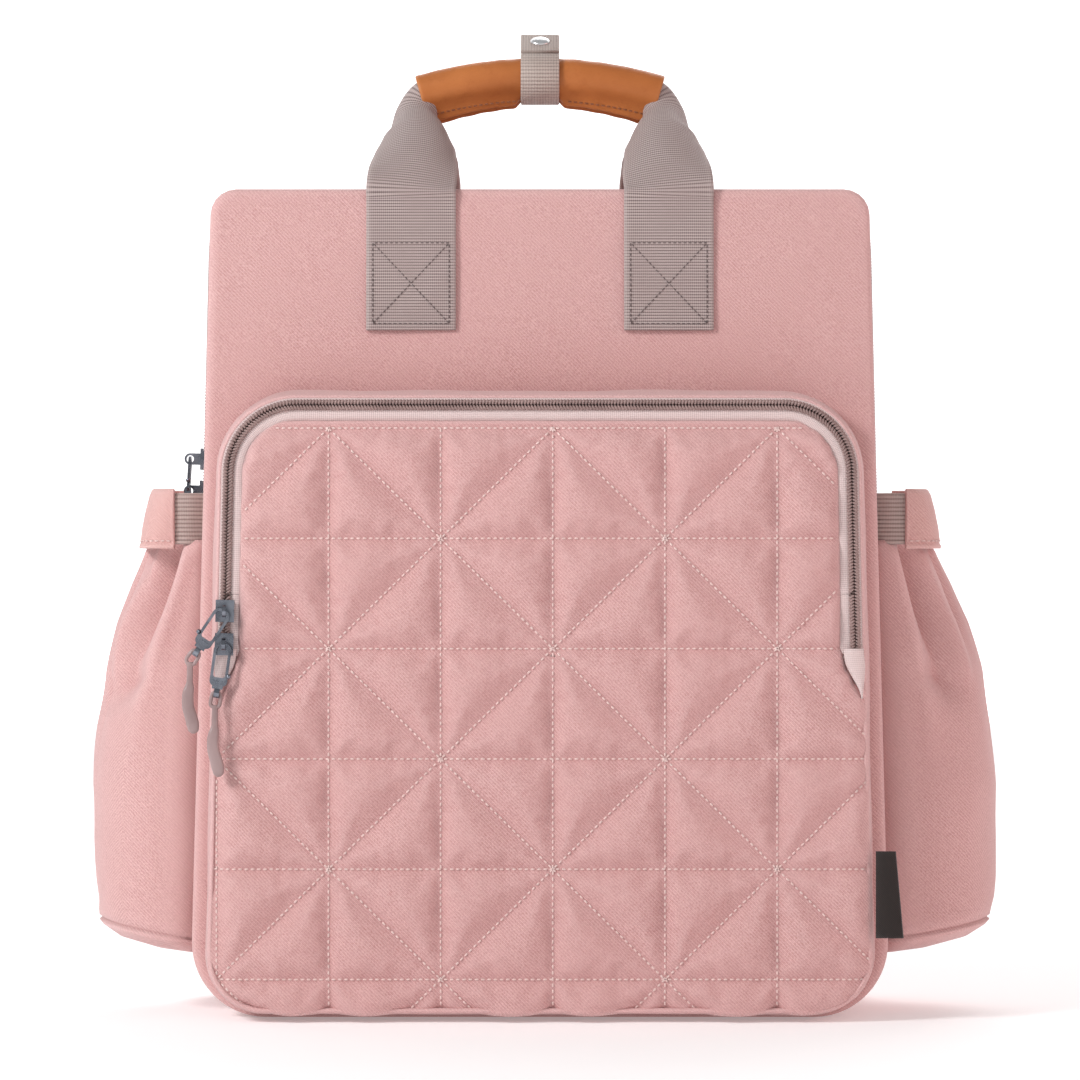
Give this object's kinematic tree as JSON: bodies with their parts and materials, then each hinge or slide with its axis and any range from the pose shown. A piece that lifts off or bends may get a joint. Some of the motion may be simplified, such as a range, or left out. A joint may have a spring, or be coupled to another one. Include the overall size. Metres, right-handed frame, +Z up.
{
  "type": "diaper backpack",
  "caption": "Boxy soft diaper backpack with a quilted zipped front pocket, gathered side pockets, webbing carry handles with leather grips joined by a snap strap, and padded shoulder straps.",
  "frame": {"origin": "on the floor, at the middle of the base panel's underside", "axes": "+Z up, -Y towards the quilted front, +X to the right as the front is seen"},
  "size_m": [0.4212, 0.2102, 0.4559],
  "materials": {
    "body_fabric": "matte",
    "quilted_fabric": "matte",
    "padding": "matte",
    "lining_fabric": "satin",
    "webbing": "matte",
    "elastic": "matte",
    "zip_tape": "matte",
    "zip_coil": "satin",
    "label": "matte",
    "leather": "satin",
    "metal": "polished",
    "pull_rubber": "satin",
    "buckle_plastic": "satin",
    "board": "matte"
  },
  "bodies": {
    "bag": {"front_panel": "body_fabric", "back_panel": "body_fabric", "left_gusset": "body_fabric", "right_gusset": "body_fabric", "base_panel": "body_fabric", "lining": "lining_fabric", "base_board": "board", "inner_organiser": "lining_fabric", "pocket_band": "body_fabric", "quilt_panel_lower": "quilted_fabric", "front_zip_tape_fixed": "zip_tape", "front_zip_coil_fixed": "zip_coil", "zip_end_covers": "zip_tape", "side_label": "label", "side_zip_tapes": "zip_tape", "side_zip_coils": "zip_coil", "handle_sewn_ends": "webbing", "side_pocket_left": "body_fabric", "side_pocket_right": "body_fabric", "pocket_casings": "body_fabric", "pocket_elastics": "elastic", "pocket_stud": "metal", "back_pad": "padding", "strap_yoke": "body_fabric", "strap_anchors": "body_fabric"},
    "pocket_flap": {"quilt_panel_upper": "quilted_fabric", "front_zip_tape_flap": "zip_tape", "front_zip_coil_flap": "zip_coil"},
    "mouth_flap_front": {"mouth_strip_front": "body_fabric", "main_zip_tape_front": "zip_tape", "main_zip_coil_front": "zip_coil"},
    "mouth_flap_back": {"mouth_strip_back": "body_fabric", "main_zip_tape_back": "zip_tape", "main_zip_coil_back": "zip_coil"},
    "front_handle": {"handle_webbing_front": "webbing", "handle_grip_front": "leather", "snap_loop": "webbing"},
    "back_handle": {"handle_webbing_back": "webbing", "handle_grip_back": "leather"},
    "snap_end": {"snap_tab": "webbing", "snap_stud": "metal"},
    "left_strap": {"shoulder_strap_left": "padding", "strap_buckle_left": "buckle_plastic"},
    "right_strap": {"shoulder_strap_right": "padding", "strap_buckle_right": "buckle_plastic"},
    "left_strap_tail": {"strap_webbing_left": "webbing"},
    "right_strap_tail": {"strap_webbing_right": "webbing"},
    "slider_front_lower": {"slider_front_lower": "metal"},
    "pull_front_lower": {"clasp_front_lower": "metal"},
    "grip_front_lower": {"tail_front_lower": "pull_rubber"},
    "slider_front_upper": {"slider_front_upper": "metal"},
    "pull_front_upper": {"clasp_front_upper": "metal"},
    "grip_front_upper": {"tail_front_upper": "pull_rubber"},
    "slider_main_lower": {"slider_main_lower": "metal"},
    "pull_main_lower": {"clasp_main_lower": "metal"},
    "grip_main_lower": {"tail_main_lower": "pull_rubber"},
    "slider_main_upper": {"slider_main_upper": "metal"},
    "pull_main_upper": {"clasp_main_upper": "metal"},
    "grip_main_upper": {"tail_main_upper": "pull_rubber"}
  },
  "joints": [
    {"name": "front_mouth_fold", "type": "hinge", "parent": "bag", "child": "mouth_flap_front", "pos_m": [0, -0.0458, 0.3755], "axis": [-1, 0, 0], "range_deg": [0, 85]},
    {"name": "back_mouth_fold", "type": "hinge", "parent": "bag", "child": "mouth_flap_back", "pos_m": [0, 0.0598, 0.3755], "axis": [1, 0, 0], "range_deg": [0, 85]},
    {"name": "front_pocket_fold", "type": "hinge", "parent": "bag", "child": "pocket_flap", "pos_m": [0, -0.0945, 0.194], "axis": [1, 0, 0], "range_deg": [0, 90]},
    {"name": "front_handle_fold", "type": "hinge", "parent": "bag", "child": "front_handle", "pos_m": [0, -0.0535, 0.3815], "axis": [1, 0, 0], "range_deg": [0, 200], "deforming": ["snap_loop"]},
    {"name": "back_handle_fold", "type": "hinge", "parent": "bag", "child": "back_handle", "pos_m": [0, 0.0675, 0.3815], "axis": [1, 0, 0], "range_deg": [-170, 0], "deforming": ["snap_loop"]},
    {"name": "snap_end_lift", "type": "hinge", "parent": "front_handle", "child": "snap_end", "pos_m": [0, -0.0026, 0.4455], "axis": [1, 0, 0], "range_deg": [0, 120]},
    {"name": "left_strap_swing", "type": "hinge", "parent": "bag", "child": "left_strap", "pos_m": [0, 0.0955, 0.333], "axis": [1, 0, 0], "range_deg": [0, 18]},
    {"name": "left_strap_tail_swing", "type": "hinge", "parent": "bag", "child": "left_strap_tail", "pos_m": [0, 0.0896, 0.0515], "axis": [1, 0, 0], "range_deg": [-49.67, 0]},
    {"name": "right_strap_swing", "type": "hinge", "parent": "bag", "child": "right_strap", "pos_m": [0, 0.0955, 0.333], "axis": [1, 0, 0], "range_deg": [0, 18]},
    {"name": "right_strap_tail_swing", "type": "hinge", "parent": "bag", "child": "right_strap_tail", "pos_m": [0, 0.0896, 0.0515], "axis": [1, 0, 0], "range_deg": [-49.67, 0]},
    {"name": "front_lower_slider_travel", "type": "slide", "parent": "bag", "child": "slider_front_lower", "axis": [0.021, 0, 0.9998], "range_m": [0, 0.002]},
    {"name": "front_lower_pull_swing", "type": "hinge", "parent": "slider_front_lower", "child": "pull_front_lower", "pos_m": [-0.14241, -0.098, 0.171], "axis": [1, 0, 0], "range_deg": [-100, 0]},
    {"name": "front_lower_grip_swing", "type": "hinge", "parent": "pull_front_lower", "child": "grip_front_lower", "pos_m": [-0.14547, -0.098, 0.14921], "axis": [0.9903, 0, -0.1392], "range_deg": [-30, 0]},
    {"name": "front_upper_slider_travel", "type": "slide", "parent": "bag", "child": "slider_front_upper", "axis": [0.021, 0, 0.9998], "range_m": [0, 0.046]},
    {"name": "front_upper_pull_swing", "type": "hinge", "parent": "slider_front_upper", "child": "pull_front_upper", "pos_m": [-0.1421, -0.098, 0.186], "axis": [1, 0, 0], "range_deg": [-150, 0]},
    {"name": "front_upper_grip_swing", "type": "hinge", "parent": "pull_front_upper", "child": "grip_front_upper", "pos_m": [-0.1544, -0.098, 0.16776], "axis": [0.829, 0, -0.5592], "range_deg": [-30, 0]},
    {"name": "main_lower_slider_travel", "type": "slide", "parent": "bag", "child": "slider_main_lower", "axis": [0.0237, 0, 0.9997], "range_m": [-0.004, 0.002]},
    {"name": "main_lower_pull_swing", "type": "hinge", "parent": "slider_main_lower", "child": "pull_main_lower", "pos_m": [-0.16428, 0.007, 0.241], "axis": [0, -1, 0], "range_deg": [-6, 0]},
    {"name": "main_lower_grip_swing", "type": "hinge", "parent": "pull_main_lower", "child": "grip_main_lower", "pos_m": [-0.1648, 0.0093, 0.21913], "axis": [-0.0025, -0.9945, -0.1045], "range_deg": [-6, 0]},
    {"name": "main_upper_slider_travel", "type": "slide", "parent": "bag", "child": "slider_main_upper", "axis": [0.0237, 0, 0.9997], "range_m": [0, 0.095]},
    {"name": "main_upper_pull_swing", "type": "hinge", "parent": "slider_main_upper", "child": "pull_main_upper", "pos_m": [-0.16392, 0.007, 0.256], "axis": [0, -1, 0], "range_deg": [-6, 0]},
    {"name": "main_upper_grip_swing", "type": "hinge", "parent": "pull_main_upper", "child": "grip_main_upper", "pos_m": [-0.16437, -0.004, 0.23695], "axis": [0.0119, -0.866, 0.4999], "range_deg": [-6, 0]}
  ],
  "couplings": [
    {"joint": "left_strap_tail_swing", "follows": "left_strap_swing", "ratio": -2.704},
    {"joint": "right_strap_tail_swing", "follows": "right_strap_swing", "ratio": -2.704}
  ]
}
